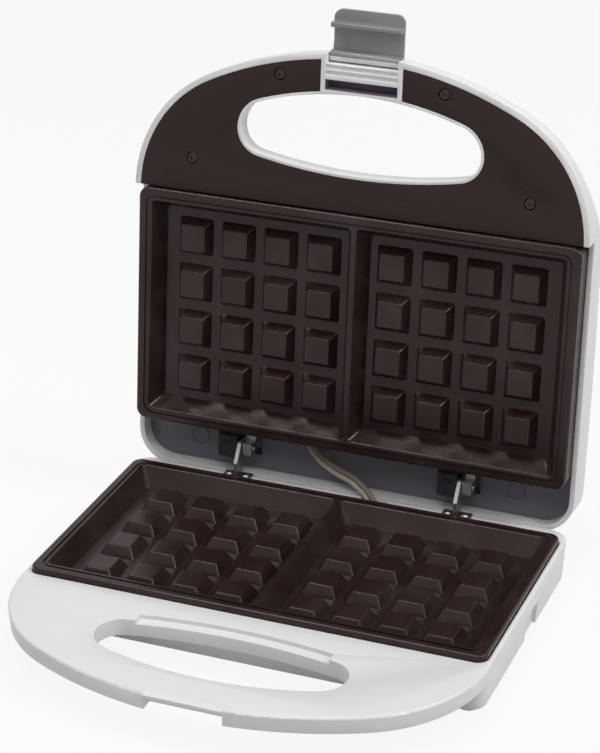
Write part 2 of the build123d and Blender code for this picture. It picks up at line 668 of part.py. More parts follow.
def lid_block(inset):
    plan = housing_plan(inset, LID_REAR_Y, LID_REAR_CORNER)
    block = extrude(Pos(0, 0, PART_Z + LID_HANDLE_LOW) * plan, LID_TOP + 5)
    return block & lid_profile(inset)


def lid_outside():
    """The lid's outer form with its top edge rounded all the way round."""
    block = lid_block(0)
    top = [e for e in block.edges() if e.center().Z > PART_Z + LID_HANDLE_TOP - 3]
    top = [e for e in top if e.geom_type != GeomType.LINE or abs(e.tangent_at(0.5).Z) < 0.9]
    return fillet(top, LID_EDGE_ROUND)


def lid_shell():
    """Domed housing of the lid, closed pose, open below."""
    shell = lid_outside()
    hollow = lid_block(WALL)
    cover_top = PART_Z + LID_HANDLE_LOW + COVER_THICK
    hollow -= box(-BODY_WIDTH, BODY_WIDTH, HANDLE_FRONT_Y - 20, PLATE_FRONT_Y, 0, cover_top)
    hollow -= lid_slot_cut(WALL - 0.4)
    hollow -= latch_housing(0)
    hollow -= lid_posts()
    shell -= hollow
    shell -= extrude(Pos(0, 0, PART_Z - 5) * cover_plan(0, 0), cover_top - PART_Z + 5)
    shell -= lid_slot_cut(0)
    shell -= box(-BODY_WIDTH, BODY_WIDTH, PLATE_FRONT_Y - COVER_BACK, LID_REAR_Y + 5, 0, PART_Z + LID_RIM)
    shell -= latch_cuts()
    shell -= lid_screw_bores()
    for x in (-LENS_X, LENS_X):
        shell -= Pos(x, PLATE_FRONT_Y + LENS_BACK, PART_Z + LID_TOP) * Cylinder(LENS_RADIUS - 0.6, 20)
    return shell


def cover_plan(rim_gap, back_gap):
    """Plan of the dark cover inside the handle loop, or of the recess that it lies in."""
    plan = housing_plan(COVER_RIM + rim_gap, LID_REAR_Y, LID_REAR_CORNER)
    plan = before(plan, PLATE_FRONT_Y - COVER_BACK - back_gap)
    plan -= lid_slot(SLOT_RIM + rim_gap)
    half = HOUSING_HALF + rim_gap
    slot_front = PLATE_FRONT_Y - HANDLE_REACH + LID_BAR
    plan -= rect(-half, half, HANDLE_FRONT_Y - 5, slot_front + 5)
    return plan


def latch_housing(gap):
    """Solid block in the handle's front that carries the latch."""
    low = PART_Z + LID_HANDLE_LOW
    y1 = HANDLE_FRONT_Y + LID_BAR + 1
    half = HOUSING_HALF + gap
    return box(-half, half, HANDLE_FRONT_Y - 5, y1, low - 5, PART_Z + LID_HANDLE_TOP)


def latch_cuts():
    """Seat of the latch's hub, its pin bore, the pocket behind it and the grooves between."""
    low = PART_Z + LID_HANDLE_LOW - 5
    half = LATCH_HALF + LATCH_SIDE_GAP
    seat_back = LATCH_Y + LATCH_HUB + 0.5
    seat_top = LATCH_Z + BLADE_OFFSET + BLADE_THICK + 0.4
    cuts = box(-half, half, HANDLE_FRONT_Y - 5, seat_back, low, seat_top)
    cuts += rod(LATCH_PIN_RADIUS, (-HOUSING_HALF + 0.4, LATCH_Y, LATCH_Z), (1, 0, 0), 2 * HOUSING_HALF - 0.8)
    y = HANDLE_FRONT_Y + POCKET_BACK
    face = PART_Z + LID_HANDLE_LOW
    cuts += box(-POCKET_HALF, POCKET_HALF, y, y + POCKET_WIDTH, low, face + POCKET_DEPTH)
    for back in (0.8, 3.6):
        cuts += rod(1.1, (-half, seat_back + back + 0.6, face - 0.2), (1, 0, 0), 2 * half)
    return cuts


def lid_posts():
    """Hollow posts that bear on the upper reflector, and the handle cover's screw posts."""
    posts = Part()
    reflector_top = PART_Z + PLATE_GAP + REFLECTOR_DROP + REFLECTOR_SHEET
    for x, y in plate_boss_places():
        posts += rod(5, (x, y + PLATE_MID_Y, reflector_top), (0, 0, 1), LID_TOP)
        posts -= rod(SCREW_HEAD + 0.5, (x, y + PLATE_MID_Y, reflector_top - 1), (0, 0, 1), 4)
    for x, y in lid_screw_places():
        posts += rod(BOSS_RADIUS, (x, y, PART_Z + LID_HANDLE_LOW + COVER_THICK), (0, 0, 1), LID_TOP)
    return posts


def lid_screw_bores():
    bores = Part()
    for x, y in lid_screw_places():
        bores += rod(SCREW_RADIUS, (x, y, PART_Z), (0, 0, 1), LID_HANDLE_LOW + COVER_THICK + 7)
    return bores


def lid_handle_cover():
    """Dark cover that closes the handle loop from below, split at the latch."""
    cover = extrude(Pos(0, 0, PART_Z + LID_HANDLE_LOW) * cover_plan(COVER_GAP, 0), COVER_THICK)
    for x, y in lid_screw_places():
        cover -= Pos(x, y, PART_Z + LID_HANDLE_LOW) * Cylinder(SCREW_RADIUS + 0.25, 10)
        cover -= Pos(x, y, PART_Z + LID_HANDLE_LOW) * Cylinder(SCREW_HEAD + 0.2, 2 * 1.2)
    return cover


def lid_cover_screws():
    z = PART_Z + LID_HANDLE_LOW + 1.2
    return [open_lid(Pos(x, y, z) * pan_screw(LID_SCREW_LENGTH)) for x, y in lid_screw_places()]


def lid_rear_cover():
    """Slate strip behind the upper plate that closes the lid round the hinges."""
    inset = WALL + COVER_GAP
    low = PART_Z + LID_RIM + REAR_COVER_RISE
    plan = behind(housing_plan(inset, LID_REAR_Y, LID_REAR_CORNER), PLATE_REAR_Y + 0.6)
    cover = extrude(Pos(0, 0, low) * plan, 2)
    reach = EAR_THICK / 2 + SIDE_PLAY
    for x in (-HINGE_X, HINGE_X):
        x0 = x - reach - BLOCK_WIDTH - 1.2
        cover -= box(x0, x + reach + LEAF_WIDTH + 1.2, PLATE_REAR_Y - 5, HINGE_Y + 6.2, low - 5, low + 9)
    cover -= box(SLEEVE_NOTCH[0], SLEEVE_NOTCH[1], PLATE_REAR_Y - 5, PLATE_REAR_Y + 6, low - 5, low + 9)
    for x in (-BODY_HALF + 30, BODY_HALF - 30):
        ring = Circle(4.6) - Circle(4.1)
        cover -= extrude(Pos(x, HINGE_Y + 1, low) * ring, 0.4)
    return cover


def hinge_ears():
    """Folded steel ears that stand on the base's rear strip; their bores run on the pins."""
    ears = []
    for x in (-HINGE_X, HINGE_X):
        foot_y = PLATE_REAR_Y + 0.9
        side = Pos(HINGE_Y, HINGE_Z) * Circle(EAR_RADIUS)
        web = Polyline((foot_y, DECK_Z), (foot_y, HINGE_Z - 5), (HINGE_Y - 4.2, HINGE_Z + 2.6),
                       (HINGE_Y - 0.5, HINGE_Z - 4.9), (BASE_REAR_Y - BASE_EDGE_ROUND - 0.2, DECK_Z + 3),
                       (BASE_REAR_Y - BASE_EDGE_ROUND - 0.2, DECK_Z), close=True)
        side += make_face(web)
        ear = extrude(Plane.YZ * side, EAR_THICK / 2, both=True)
        ear += box(-EAR_FOOT, EAR_FOOT, foot_y, BASE_REAR_Y - BASE_EDGE_ROUND - 0.2, DECK_Z, DECK_Z + 1.2)
        ear -= rod(PIN_RADIUS + RUNNING_GAP, (-5, HINGE_Y, HINGE_Z), (1, 0, 0), 10)
        for way in (-4.2, 4.2):
            ear -= Pos(way, foot_y + 3.2, DECK_Z) * Cylinder(1.1, 6)
        ears.append(Pos(x, 0, 0) * ear)
    return ears


def hinge_ear_screws():
    screw = Rot(180, 0, 0) * pan_screw(EAR_SCREW_LENGTH, 1.0, 2.0, 0.9)
    return [Pos(x, y, DECK_Z + 1.2) * screw for x, y in ear_screw_places()]


def hinge_blocks():
    """Moulded blocks that hang from the lid and hold the pins."""
    blocks = []
    x1 = -EAR_THICK / 2 - SIDE_PLAY
    x0 = x1 - BLOCK_WIDTH
    for x in (-HINGE_X, HINGE_X):
        block = box(x0, x1, HINGE_Y - 8.2, HINGE_Y + 5.2, HINGE_Z - 5.2, PART_Z + LID_TOP - WALL - 2.2)
        block = chamfer(block.edges().filter_by(Axis.X).group_by(Axis.Z)[0], 1.2)
        block -= rod(PIN_RADIUS, (x0 - 1, HINGE_Y, HINGE_Z), (1, 0, 0), BLOCK_WIDTH + 2)
        mid = (x0 + x1) / 2
        block -= rod(1.0, (mid, HINGE_Y - 4.8, HINGE_Z - 6), (0, 0, 1), 12)
        blocks.append(open_lid(Pos(x, 0, 0) * block))
    return blocks


def hinge_block_screws():
    screws = []
    mid = -EAR_THICK / 2 - SIDE_PLAY - BLOCK_WIDTH / 2
    for x in (-HINGE_X, HINGE_X):
        place = Pos(x + mid, HINGE_Y - 4.8, HINGE_Z - 5.2)
        screws.append(open_lid(place * pan_screw(BLOCK_SCREW_LENGTH, 1.0, 2.3, 1.0)))
    return screws


def hinge_leaves():
    """Bright leaves with a square eye on the pin that run forward over the upper plate's back."""
    leaves = []
    x0 = EAR_THICK / 2 + SIDE_PLAY
    x1 = x0 + LEAF_WIDTH
    curl = PART_Z + PLATE_GAP + PLATE_BACK + LEAF_THICK - HINGE_Z
    for x in (-HINGE_X, HINGE_X):
        leaf = box(x0, x1, HINGE_Y - curl, HINGE_Y + curl, HINGE_Z - curl, HINGE_Z + curl)
        leaf = chamfer(leaf.edges().filter_by(Axis.X), 0.8)
        leaf += box(x0, x1, HINGE_Y - LEAF_LENGTH, HINGE_Y, HINGE_Z + curl - LEAF_THICK, HINGE_Z + curl)
        leaf -= rod(PIN_RADIUS, (x0 - 1, HINGE_Y, HINGE_Z), (1, 0, 0), LEAF_WIDTH + 2)
        leaves.append(open_lid(Pos(x, 0, 0) * leaf))
    return leaves


def hinge_pins():
    pins = []
    x0 = -EAR_THICK / 2 - SIDE_PLAY - BLOCK_WIDTH - 0.6
    x1 = EAR_THICK / 2 + SIDE_PLAY + LEAF_WIDTH + 0.6
    for x in (-HINGE_X, HINGE_X):
        pins.append(open_lid(Pos(x, 0, 0) * rod(PIN_RADIUS, (x0, HINGE_Y, HINGE_Z), (1, 0, 0), x1 - x0)))
    return pins


def latch_lever():
    """Lever swung outwards: hub on the pin, blade with a dished face, hook rib and rounded tip."""
    hub = rod(LATCH_HUB, (-LATCH_HALF, LATCH_Y, LATCH_Z), (1, 0, 0), 2 * LATCH_HALF)
    z0 = LATCH_Z + BLADE_OFFSET
    tip = LATCH_Y - BLADE_REACH
    blade = box(-LATCH_HALF, LATCH_HALF, tip, LATCH_Y, z0, z0 + BLADE_THICK)
    blade = fillet(blade.edges().filter_by(Axis.Z).group_by(Axis.Y)[0], 4)
    dish = LATCH_Y - HOOK_REACH / 2 - 1
    blade -= rod(24, (-LATCH_HALF - 1, dish, z0 - 23.3), (1, 0, 0), 2 * LATCH_HALF + 2)
    hook_y = LATCH_Y - HOOK_REACH
    low = z0 - HOOK_DEPTH
    hook = box(-LATCH_HALF, LATCH_HALF, hook_y - HOOK_THICK / 2, hook_y + HOOK_THICK / 2, low, z0 + 0.4)
    hook = fillet(hook.edges().filter_by(Axis.X).group_by(Axis.Z)[0], 0.8)
    lever = hub + blade + hook
    lever -= rod(LATCH_PIN_RADIUS + RUNNING_GAP, (-LATCH_HALF - 1, LATCH_Y, LATCH_Z), (1, 0, 0), 2 * LATCH_HALF + 2)
    return lever


def latch_pin():
    reach = HOUSING_HALF - 0.6
    return rod(LATCH_PIN_RADIUS, (-reach, LATCH_Y, LATCH_Z), (1, 0, 0), 2 * reach)


def lamp_lens(x):
    top = lens_top()
    lens = rod(LENS_RADIUS, (x, PLATE_FRONT_Y + LENS_BACK, top + 0.1), (0, 0, 1), 1.4)
    lens = chamfer(lens.edges().group_by(Axis.Z)[-1], 0.6)
    lens += rod(LENS_RADIUS - 0.7, (x, PLATE_FRONT_Y + LENS_BACK, top - 4), (0, 0, 1), 4.2)
    return open_lid(lens)


def lens_top():
    """Height of the crowned top where the lenses sit."""
    return PART_Z + LID_TOP - 1.1


def neon_lamps():
    """Glass lamps that push up into the lenses from inside."""
    lamps = []
    for x in (-LENS_X, LENS_X):
        low = lens_top() - 10.5
        lamp = rod(2.2, (x, PLATE_FRONT_Y + LENS_BACK, low), (0, 0, 1), 6.2)
        lamps.append(open_lid(lamp))
    return lamps


# Lead sleeves, route of the pair's middle from behind the upper reflector down to the terminal block, lid open
SLEEVE_DOWN_X = 16.5
SLEEVE_DOWN_Y = PLATE_REAR_Y + 2.7
SLEEVE_RUN_Z = 9.8
SLEEVE_SPACING = SLEEVE_RADIUS + 0.12
SLEEVE_NOTCH = (-31.0, -8.0)
SLEEVE_ROUTE = [
    (-27.0, PLATE_REAR_Y + 25.5, 60.0),
    (-25.5, PLATE_REAR_Y + 20.5, 46.5),
    (-20.0, PLATE_REAR_Y + 13.5, 38.5),
    (-8.0, PLATE_REAR_Y + 10.0, 32.5),
    (4.0, PLATE_REAR_Y + 7.5, 30.5),
    (SLEEVE_DOWN_X, SLEEVE_DOWN_Y, DECK_Z - 2),
    (SLEEVE_DOWN_X, SLEEVE_DOWN_Y, SLEEVE_RUN_Z),
    (GLAND_X + TERMINAL_START + TERMINAL_LENGTH + SEAT_GAP, SLEEVE_DOWN_Y, SLEEVE_RUN_Z),
]
SLEEVE_SIDE = [(1, 0), (1, 0.1), (0.7, 0.75), (0.35, 0.95), (0.42, 0.9), (1, 0.3), (1, -1), (0, -1)]


def lead_sleeves():
    """Two braided sleeves side by side, stacked where they run along the rear wall."""
    sleeves = []
    for way in (-SLEEVE_SPACING, SLEEVE_SPACING):
        points = [(x + way * dx, y, z + way * dz) for (x, y, z), (dx, dz) in zip(SLEEVE_ROUTE, SLEEVE_SIDE)]
        bends = [SLEEVE_BEND] * 4 + [SLEEVE_TURN, SLEEVE_TURN + way]
        path = FilletPolyline(*points, radius=bends)
        start = Plane(origin=points[0], z_dir=path % 0.0)
        sleeves.append(sweep(start * Circle(SLEEVE_RADIUS), path=path))
    return sleeves


def write(name, shape):
    """Writes one node; a list of solids becomes one group."""
    if isinstance(shape, list):
        shape = Compound(children=[s.solid() for s in shape])
    export_step(shape, f"parts/{name}.step")


def main():
    os.makedirs("parts", exist_ok=True)
    plate = cooking_plate()
    element = heater()
    clips = heater_clips()
    sheet = reflector()
    screws = reflector_screws()
    write("base_shell", base_shell())
    write("base_bottom_cover", base_bottom_cover())
    write("base_feet", base_feet())
    write("base_cover_screws", base_cover_screws())
    write("lower_plate", lower(plate))
    write("lower_heater", lower(element))
    write("lower_heater_clips", [lower(c) for c in clips])
    write("lower_reflector", lower(sheet))
    write("lower_reflector_screws", [lower(s) for s in screws])
    write("thermal_fuse", thermal_fuse())
    write("terminal_block", terminal_block())
    write("cord_gland", cord_gland())
    write("hinge_ears", hinge_ears())
    write("hinge_ear_screws", hinge_ear_screws())
    write("lid_shell", open_lid(lid_shell()))
    write("lid_handle_cover", open_lid(lid_handle_cover()))
    write("lid_cover_screws", lid_cover_screws())
    write("lid_rear_cover", open_lid(lid_rear_cover()))
    write("upper_plate", upper(plate))
    write("upper_heater", upper(element))
    write("upper_heater_clips", [upper(c) for c in clips])
    write("upper_reflector", upper(sheet))
    write("upper_reflector_screws", [upper(s) for s in screws])
    write("thermostat", thermostat())
    write("hinge_blocks", hinge_blocks())
    write("hinge_block_screws", hinge_block_screws())
    write("hinge_leaves", hinge_leaves())
    write("hinge_pins", hinge_pins())
    write("latch_lever", open_lid(latch_lever()))
    write("latch_pin", open_lid(latch_pin()))
    write("power_lamp_lens", lamp_lens(LENS_X))
    write("ready_lamp_lens", lamp_lens(-LENS_X))
    write("neon_lamps", neon_lamps())
    write("lead_sleeves", lead_sleeves())


main()
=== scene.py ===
import json
from math import cos, hypot, pi, radians, sin

import bmesh
import bpy
from mathutils import Matrix, Vector


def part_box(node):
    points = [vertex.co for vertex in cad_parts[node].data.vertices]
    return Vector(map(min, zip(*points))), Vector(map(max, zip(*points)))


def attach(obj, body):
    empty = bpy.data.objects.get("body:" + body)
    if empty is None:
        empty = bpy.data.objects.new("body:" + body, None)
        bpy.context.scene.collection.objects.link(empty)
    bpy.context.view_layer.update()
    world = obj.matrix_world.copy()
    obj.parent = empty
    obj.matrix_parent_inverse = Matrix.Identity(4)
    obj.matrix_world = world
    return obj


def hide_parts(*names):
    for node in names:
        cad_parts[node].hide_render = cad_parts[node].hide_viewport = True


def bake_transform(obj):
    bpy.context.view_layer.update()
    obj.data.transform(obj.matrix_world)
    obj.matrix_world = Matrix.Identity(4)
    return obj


bl_info = {
    "name": "Waffle Cookie Maker Builder",
    "version": (1, 0, 0),
    "blender": (4, 5, 0),
    "location": "View3D > Sidebar > Waffle Maker",
    "description": "Dresses the packed two-field waffle maker: plates, housings, latch, hinges, leads and stage",
    "category": "Object",
}

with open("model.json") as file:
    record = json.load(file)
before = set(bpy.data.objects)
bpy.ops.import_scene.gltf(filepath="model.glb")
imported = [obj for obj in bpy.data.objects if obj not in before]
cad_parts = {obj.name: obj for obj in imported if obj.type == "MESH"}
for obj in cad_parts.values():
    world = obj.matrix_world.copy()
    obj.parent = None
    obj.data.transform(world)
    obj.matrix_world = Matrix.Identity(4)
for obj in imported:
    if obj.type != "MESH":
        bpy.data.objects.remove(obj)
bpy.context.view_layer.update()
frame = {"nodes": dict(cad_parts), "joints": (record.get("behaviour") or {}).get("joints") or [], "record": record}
BODY_OF = {node: body for body, nodes in frame["record"]["behaviour"]["bodies"].items() for node in nodes}
JOINTS = {joint["name"]: joint for joint in frame["joints"]}
HINGE_POINT = Vector(JOINTS["lid_hinge"]["pos_m"])
LID_ANGLE = radians(JOINTS["lid_hinge"]["range_deg"][1])
LATCH_POINT = Vector(JOINTS["latch_swing"]["pos_m"])
# Takes a point of the shut lid to where it lies at rest, with the lid open
LID_TURN = Matrix.Translation(HINGE_POINT) @ Matrix.Rotation(-LID_ANGLE, 4, "X") @ Matrix.Translation(-HINGE_POINT)
MM = 0.001


# Colours


def shade(red, green, blue):
    """A screen colour of 0 to 255 as the linear colour that shaders take."""
    def linear(value):
        value /= 255
        return value / 12.92 if value <= 0.04045 else ((value + 0.055) / 1.055) ** 2.4
    return (linear(red), linear(green), linear(blue))


def colour_property(name, description, default):
    """A colour that the panel shows."""
    return bpy.props.FloatVectorProperty(
        name=name, description=description, subtype="COLOR", size=3, min=0.0, max=1.0, default=default)


def length_property(name, description, default):
    """A length that the panel shows."""
    return bpy.props.FloatProperty(
        name=name, description=description, unit="LENGTH", subtype="DISTANCE", min=0.0, default=default)


def light_property(name, description, default, subtype="POWER"):
    """A lamp's power, or a strength of light, that the panel shows."""
    return bpy.props.FloatProperty(
        name=name, description=description, subtype=subtype, min=0.0, default=default)


class WaffleColours(bpy.types.PropertyGroup):
    """Colours of the maker's finishes."""

    shell: colour_property("Shell", "Moulded housing of base and lid", shade(226, 225, 225))
    coating: colour_property("Plate coating", "Non-stick coating of both plates", shade(40, 26, 24))
    cover: colour_property("Handle cover", "Dark cover inside the lid's handle", shade(44, 31, 29))
    # The pocket colour is painted shade: the white shell's faces in the pocket behind the latch are painted darker
    # for the shade that falls there
    pocket: colour_property("Latch pocket", "Shadowed inside of the pocket behind the latch", shade(136, 126, 142))
    # The slate colour is painted shade: a dark sheet where the lid's white inside lies in shade
    slate: colour_property("Rear cover", "Slate strip round the hinges", shade(112, 109, 118))
    latch: colour_property("Latch", "Swinging latch lever", shade(132, 129, 128))
    block: colour_property("Hinge blocks", "Moulded hinge blocks", shade(38, 38, 42))
    underside: colour_property("Underside", "Bottom cover", shade(52, 52, 54))
    rubber: colour_property("Feet", "Rubber feet", shade(74, 74, 74))
    pale_braid: colour_property("Pale sleeve", "Braid of the sleeve nearer the front", shade(214, 203, 190))
    brown_braid: colour_property("Brown sleeve", "Braid of the other sleeve", shade(158, 143, 130))
    power_lens: colour_property("Power lens", "Red lamp lens", shade(205, 30, 26))
    ready_lens: colour_property("Ready lens", "Green lamp lens", shade(40, 160, 70))


class WaffleSizes(bpy.types.PropertyGroup):
    """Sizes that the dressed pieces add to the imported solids."""

    plate_edge: length_property("Plate edge", "Rounding of the pyramids' cast edges", 0.8 * MM)
    shell_edge: length_property("Shell edge", "Rounding of the moulded housings' edges", 0.5 * MM)
    cover_edge: length_property("Cover edge", "Rounding of the handle cover's edges", 0.35 * MM)
    latch_edge: length_property("Latch edge", "Rounding of the latch lever's edges", 0.45 * MM)
    sleeve: length_property("Sleeve diameter", "Outside diameter of a lead sleeve", 2.6 * MM)


class WaffleStage(bpy.types.PropertyGroup):
    """Floor, lamps and camera."""

    floor: colour_property("Floor", "Pale floor", shade(206, 206, 206))
    key: light_property("Key lamp", "Power of the large front lamp", 4.6)
    fill: light_property("Fill lamp", "Power of the side lamp", 12.0)
    top: light_property("Top lamp", "Power of the soft box overhead", 6.0)
    sky: light_property("Sky", "Strength of the soft light overhead", 0.32, "FACTOR")
    horizon: light_property("Horizon", "Strength of the soft light at the horizon", 0.25, "FACTOR")
    lens: bpy.props.FloatProperty(
        name="Lens", description="Camera's focal length on a 36 mm sensor",
        default=121.016, subtype="DISTANCE_CAMERA")


# Finishes


class Finish:
    """A material under construction: one glossy or matte shader and the patterns that feed it."""

    def __init__(self, name, colour, roughness, **sockets):
        self.material = bpy.data.materials.new(name)
        self.material.use_nodes = True
        self.tree = self.material.node_tree
        self.shader = self.tree.nodes["Principled BSDF"]
        self.place = self.tree.nodes.new("ShaderNodeTexCoord").outputs["Object"]
        self.shader.inputs["Base Color"].default_value = (*colour, 1)
        self.shader.inputs["Roughness"].default_value = roughness
        self.colour = colour
        self.bump = None
        for socket, value in sockets.items():
            self.shader.inputs[socket.replace("_", " ")].default_value = value

    def join(self, out, into):
        """Links one node's output to another's input."""
        self.tree.links.new(out, into)

    def node(self, kind, **settings):
        """A new node with its settings."""
        made = self.tree.nodes.new(kind)
        for key, value in settings.items():
            setattr(made, key, value)
        return made

    def stretched(self, scale):
        """Object coordinates, stretched along the axes."""
        mapping = self.node("ShaderNodeMapping")
        mapping.inputs["Scale"].default_value = scale
        self.join(self.place, mapping.inputs["Vector"])
        return mapping.outputs["Vector"]

    def cloud(self, per_metre, detail=3.0, stretch=None):
        """Soft irregular pattern of 0 to 1."""
        noise = self.node("ShaderNodeTexNoise")
        noise.inputs["Scale"].default_value = per_metre
        noise.inputs["Detail"].default_value = detail
        self.join(self.stretched(stretch) if stretch else self.place, noise.inputs["Vector"])
        return noise.outputs["Fac"]

    def spots(self, per_metre, size):
        """Small scattered specks: 1 inside a speck, 0 elsewhere."""
        cells = self.node("ShaderNodeTexVoronoi")
        cells.inputs["Scale"].default_value = per_metre
        self.join(self.place, cells.inputs["Vector"])
        return self.between(cells.outputs["Distance"], size, size * 0.4)

    def between(self, value, low, high, out_low=0.0, out_high=1.0):
        """Takes the range from low to high to the one asked for, and holds it there."""
        ramp = self.node("ShaderNodeMapRange", clamp=True)
        ramp.inputs["From Min"].default_value = low
        ramp.inputs["From Max"].default_value = high
        ramp.inputs["To Min"].default_value = out_low
        ramp.inputs["To Max"].default_value = out_high
        self.join(value, ramp.inputs["Value"])
        return ramp.outputs["Result"]

    def tint(self, mask, other):
        """Mixes another colour in where the mask is high."""
        mix = self.node("ShaderNodeMix", data_type="RGBA")
        base = self.shader.inputs["Base Color"]
        if base.is_linked:
            self.join(base.links[0].from_socket, mix.inputs["A"])
        else:
            mix.inputs["A"].default_value = (*self.colour, 1)
        mix.inputs["B"].default_value = (*other, 1)
        self.join(mask, mix.inputs["Factor"])
        self.join(mix.outputs["Result"], base)
        return self

    def sheen_varies(self, mask, low, high):
        """Lets the roughness wander between two values."""
        self.join(self.between(mask, 0.3, 0.7, low, high), self.shader.inputs["Roughness"])
        return self

    def relief(self, height, depth):
        """Adds a bump of the given depth in metres, on top of those before it."""
        bump = self.node("ShaderNodeBump")
        bump.inputs["Strength"].default_value = 1.0
        bump.inputs["Distance"].default_value = depth
        self.join(height, bump.inputs["Height"])
        if self.bump is not None:
            self.join(self.bump, bump.inputs["Normal"])
        self.bump = bump.outputs["Normal"]
        self.join(self.bump, self.shader.inputs["Normal"])
        return self


def darker(colour, share):
    """The colour with only a share of its light."""
    return tuple(value * share for value in colour)


def lighter(colour, share):
    """The colour moved towards white by a share."""
    return tuple(value + (1 - value) * share for value in colour)


def moulded_white(colours):
    """Satin injection-moulded housing plastic with a faint spark texture."""
    made = Finish("moulded white shell", colours.shell, 0.34, IOR=1.5, Specular_IOR_Level=0.42)
    made.tint(made.between(made.cloud(14), 0.35, 0.75, 0, 0.5), darker(colours.shell, 0.955))
    made.sheen_varies(made.cloud(60), 0.3, 0.4)
    made.relief(made.cloud(2600, 2), 0.000012)
    made.relief(made.cloud(22, 1), 0.00012)
    return made.material


def non_stick(colours):
    """Sprayed non-stick coating: deep brown black, glossy, with fine orange peel and faint wiping marks."""
    made = Finish("non-stick coating", colours.coating, 0.22, IOR=1.48, Specular_IOR_Level=0.34,
                  Specular_Tint=(1, 0.89, 0.87, 1))
    made.tint(made.between(made.cloud(38, 4), 0.4, 0.72, 0, 0.55), lighter(colours.coating, 0.022))
    made.tint(made.spots(900, 0.09), lighter(colours.coating, 0.05))
    made.sheen_varies(made.cloud(85, 4, (1, 0.35, 1)), 0.17, 0.33)
    made.relief(made.cloud(1500, 3), 0.00002)
    made.relief(made.cloud(240, 2), 0.00004)
    return made.material


def grained_cover(colours):
    """Dark moulded cover with a fine grain and the dust that settles in it."""
    made = Finish("grained handle cover", colours.cover, 0.5, IOR=1.5, Specular_IOR_Level=0.22)
    made.tint(made.between(made.cloud(30, 4), 0.4, 0.75, 0, 0.5), darker(colours.cover, 0.78))
    made.tint(made.spots(420, 0.07), lighter(colours.cover, 0.12))
    made.sheen_varies(made.cloud(120), 0.42, 0.56)
    made.relief(made.cloud(1900, 3), 0.00003)
    return made.material


def slate_shade_sheet(colours):
    """Slate-coloured sheet round the hinges, its dark colour painted shade standing in for the shade inside the lid's
    rear; lightly mottled.
    """
    made = Finish("slate rear cover", colours.slate, 0.34, IOR=1.5, Specular_IOR_Level=0.5)
    made.tint(made.between(made.cloud(24), 0.35, 0.7, 0, 0.6), darker(colours.slate, 0.8))
    made.sheen_varies(made.cloud(90), 0.36, 0.5)
    made.relief(made.cloud(1700, 3), 0.00002)
    return made.material


def grey_latch(colours):
    """Silver-grey lacquered latch plastic."""
    made = Finish("grey latch", colours.latch, 0.36, IOR=1.5, Specular_IOR_Level=0.45, Metallic=0.15)
    made.tint(made.between(made.cloud(120, 4), 0.4, 0.7, 0, 0.6), darker(colours.latch, 0.86))
    made.sheen_varies(made.cloud(200), 0.3, 0.44)
    made.relief(made.cloud(3000, 2), 0.00001)
    return made.material


def matte_moulding(name, colour, roughness=0.6, grain=0.00003):
    """Dull moulded plastic or rubber, with a grain of the given depth in metres."""
    made = Finish(name, colour, roughness, IOR=1.5, Specular_IOR_Level=0.35)
    made.tint(made.between(made.cloud(70, 4), 0.4, 0.7, 0, 0.6), darker(colour, 0.75))
    made.sheen_varies(made.cloud(150), roughness - 0.06, roughness + 0.06)
    made.relief(made.cloud(1600, 3), grain)
    return made.material


def zinc_steel(name, colour, roughness=0.34, stretch=(1, 1, 1)):
    """Plated sheet steel with drawn lines and slight staining."""
    made = Finish(name, colour, roughness, Metallic=1.0)
    made.tint(made.between(made.cloud(210, 5), 0.35, 0.7, 0, 0.7), darker(colour, 0.7))
    made.sheen_varies(made.cloud(500, 4, stretch), roughness - 0.08, roughness + 0.12)
    made.relief(made.cloud(1400, 2, stretch), 0.000012)
    return made.material


def heated_steel(name):
    """Element sheath, tinted straw and blue by heat."""
    made = Finish(name, shade(112, 100, 88), 0.42, Metallic=1.0)
    made.tint(made.between(made.cloud(60, 3), 0.45, 0.65), shade(84, 76, 84))
    made.sheen_varies(made.cloud(300), 0.36, 0.5)
    made.relief(made.cloud(1800, 3), 0.00002)
    return made.material


def tinted_lens(name, colour):
    """Clear coloured plastic of a lamp's lens."""
    made = Finish(name, colour, 0.12, IOR=1.49, Transmission_Weight=0.35)
    made.tint(made.between(made.cloud(260), 0.4, 0.7, 0, 0.5), darker(colour, 0.7))
    made.sheen_varies(made.cloud(500), 0.08, 0.18)
    made.relief(made.cloud(700, 1), 0.00001)
    return made.material


def lamp_glass():
    """Clear glass of the neon lamps."""
    made = Finish("neon lamp glass", (0.92, 0.86, 0.78), 0.06, IOR=1.5, Transmission_Weight=0.9)
    made.tint(made.between(made.cloud(400), 0.5, 0.8), (0.5, 0.3, 0.2))
    made.relief(made.cloud(500, 1), 0.00001)
    return made.material


STRANDS_ROUND = 8
STRAND_ANGLE = 45


def braided_sleeve(name, colour):
    """Glass-fibre braid: two sets of strands wound opposite ways along the sleeve's own map."""
    made = Finish(name, colour, 0.72, IOR=1.5, Specular_IOR_Level=0.3)
    across = made.node("ShaderNodeUVMap").outputs["UV"]
    both = made.node("ShaderNodeMath", operation="MULTIPLY")
    for turn, into in zip((STRAND_ANGLE, -STRAND_ANGLE), both.inputs):
        mapping = made.node("ShaderNodeMapping")
        mapping.inputs["Rotation"].default_value = (0, 0, radians(turn))
        wave = made.node("ShaderNodeTexWave")
        wave.inputs["Scale"].default_value = STRANDS_ROUND * pi / 10 / cos(radians(STRAND_ANGLE))
        made.join(across, mapping.inputs["Vector"])
        made.join(mapping.outputs["Vector"], wave.inputs["Vector"])
        made.join(wave.outputs["Fac"], into)
    strands = both.outputs["Value"]
    # The gaps between the strands are painted darker, as painted shade
    made.tint(made.between(strands, 0.45, 0.05), darker(colour, 0.6))
    made.relief(strands, 0.00015)
    return made.material


# Shaping


